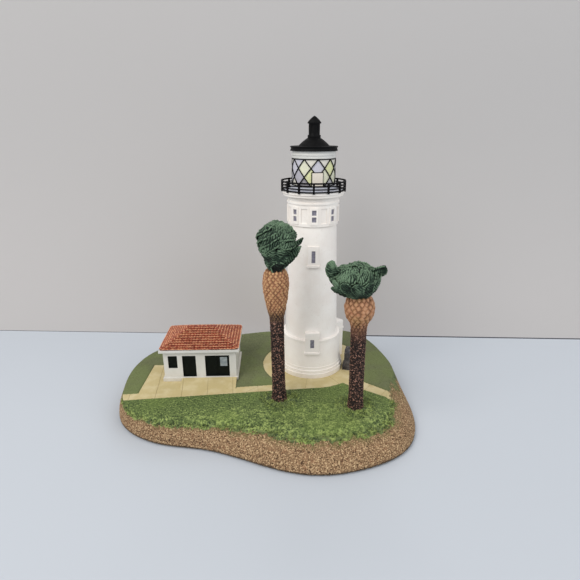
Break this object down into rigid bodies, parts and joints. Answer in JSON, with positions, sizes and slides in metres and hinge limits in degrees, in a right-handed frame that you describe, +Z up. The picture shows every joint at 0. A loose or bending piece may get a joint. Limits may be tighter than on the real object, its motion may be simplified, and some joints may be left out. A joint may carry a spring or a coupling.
{
  "type": "lighthouse figurine",
  "caption": "Cast-resin lighthouse figurine: white tower with railed gallery and black lantern roof on a grassy island, with a tile-roofed house, palms and paved paths.",
  "frame": {"origin": "on the tower's axis, in the plane that the felt pad rests on", "axes": "+Z up the tower, -Y the front that the house's doors face, +X to the right seen from the front"},
  "size_m": [0.1533, 0.1272, 0.145],
  "materials": {
    "island_paint": "hand-painted cast resin",
    "felt": "felt",
    "white_paint": "satin hand-painted cast resin",
    "black_paint": "satin black hand-painted cast resin",
    "black_metal": "black-painted etched metal",
    "lantern_paint": "hand-painted panes",
    "tile_paint": "terracotta hand paint",
    "bark_paint": "brown hand paint, dry-brushed",
    "frond_paint": "green hand paint, dry-brushed",
    "stone_paint": "dark grey hand paint",
    "steel": "bare wire"
  },
  "bodies": {
    "root": {"base_casting": "island_paint", "felt_pad": "felt", "tower_casting": "white_paint", "tower_dowel": "steel", "gallery_casting": "white_paint", "gallery_railing": "black_metal", "lantern_glazing": "lantern_paint", "lantern_lattice": "black_metal", "lantern_cornice": "white_paint", "lantern_roof": "black_paint", "roof_vent": "black_paint", "entrance_porch": "white_paint", "house_walls": "white_paint", "house_roof": "tile_paint", "palm_left_trunk": "bark_paint", "palm_left_fronds": "frond_paint", "palm_left_pin": "steel", "palm_right_trunk": "bark_paint", "palm_right_fronds": "frond_paint", "palm_right_pin": "steel", "stone_marker": "stone_paint"}
  },
  "joints": []
}
